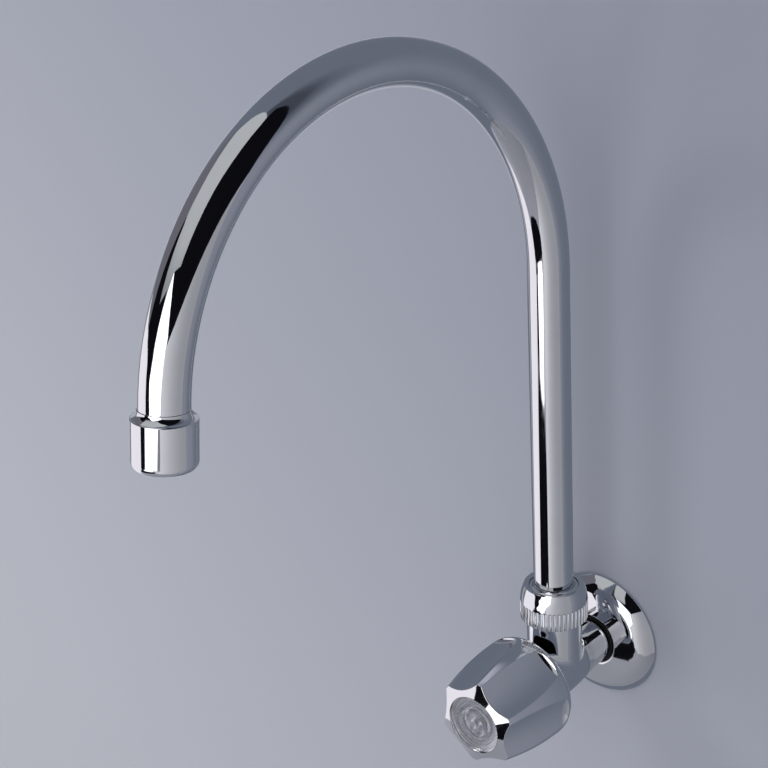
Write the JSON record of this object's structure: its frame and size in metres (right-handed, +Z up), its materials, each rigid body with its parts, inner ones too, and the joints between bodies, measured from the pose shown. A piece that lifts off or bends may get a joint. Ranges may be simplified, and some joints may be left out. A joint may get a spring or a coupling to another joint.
{
  "type": "wall faucet",
  "caption": "Wall-mounted sink tap with a cast body, a domed wall flange, a fluted front handle and a tall swivelling over-arm spout that ends in an aerator.",
  "frame": {"origin": "on the inlet thread's axis, in the plane of the wall's finished face, which the flange's back rim touches", "axes": "+Z up, +Y into the wall along the inlet thread, so the handle points to -Y and +X is to the right of a person at the sink"},
  "size_m": [0.0646, 0.2917, 0.3576],
  "materials": {
    "body_chrome": "bright chrome on cast brass",
    "flange_chrome": "bright chrome on pressed sheet",
    "nut_chrome": "bright chrome, knurled skirt",
    "spout_chrome": "bright chrome on drawn tube",
    "collar_chrome": "bright chrome on turned brass",
    "housing_chrome": "bright chrome on turned brass",
    "handle_chrome": "bright chrome on a moulded handle",
    "brass": "machined, uncoated",
    "steel": "stainless, plain",
    "mesh_steel": "fine stainless screen",
    "rubber": "black, smooth",
    "fibre": "red-brown fibre",
    "packing": "grey woven packing with graphite",
    "white_plastic": "moulded, off-white",
    "grey_plastic": "moulded, light grey",
    "index_foil": "bright disc with fine turned rings",
    "button_clear": "clear, with fine ridges moulded in its back"
  },
  "bodies": {
    "valve": {"valve_body": "body_chrome", "wall_flange": "flange_chrome", "flange_grip_ring": "rubber", "valve_seat": "brass", "bonnet_gasket": "fibre", "bonnet": "brass", "gland_packing": "packing", "gland_follower": "brass", "gland_nut": "brass", "union_nut": "nut_chrome", "thrust_washer": "white_plastic", "slip_ring": "white_plastic"},
    "spout": {"spout_foot": "collar_chrome", "spout_o_rings": "rubber", "spout_tube": "spout_chrome", "outlet_nipple": "collar_chrome", "aerator_housing": "housing_chrome", "aerator_washer": "rubber", "aerator_cartridge": "grey_plastic", "aerator_diffuser": "white_plastic", "aerator_mesh": "mesh_steel", "aerator_grid": "grey_plastic"},
    "jumper": {"jumper": "brass", "seat_washer": "rubber", "washer_screw": "steel"},
    "handle": {"spindle": "brass", "handle_shell": "handle_chrome", "handle_screw": "steel", "index_disc": "index_foil", "index_button": "button_clear"}
  },
  "joints": [
    {"name": "spout_swivel", "type": "hinge", "parent": "valve", "child": "spout", "pos_m": [0, -0.04, 0], "axis": [0, 0, 1], "range_deg": [-96, 96]},
    {"name": "jumper_lift", "type": "slide", "parent": "valve", "child": "jumper", "axis": [0, -1, 0], "range_m": [0, 0.0036]},
    {"name": "handle_turn", "type": "hinge", "parent": "jumper", "child": "handle", "pos_m": [0, -0.04, 0], "axis": [0, -1, 0], "range_deg": [0, 540]}
  ],
  "couplings": [
    {"joint": "jumper_lift", "follows": "handle_turn", "m_per_rad": 0.00038197}
  ]
}
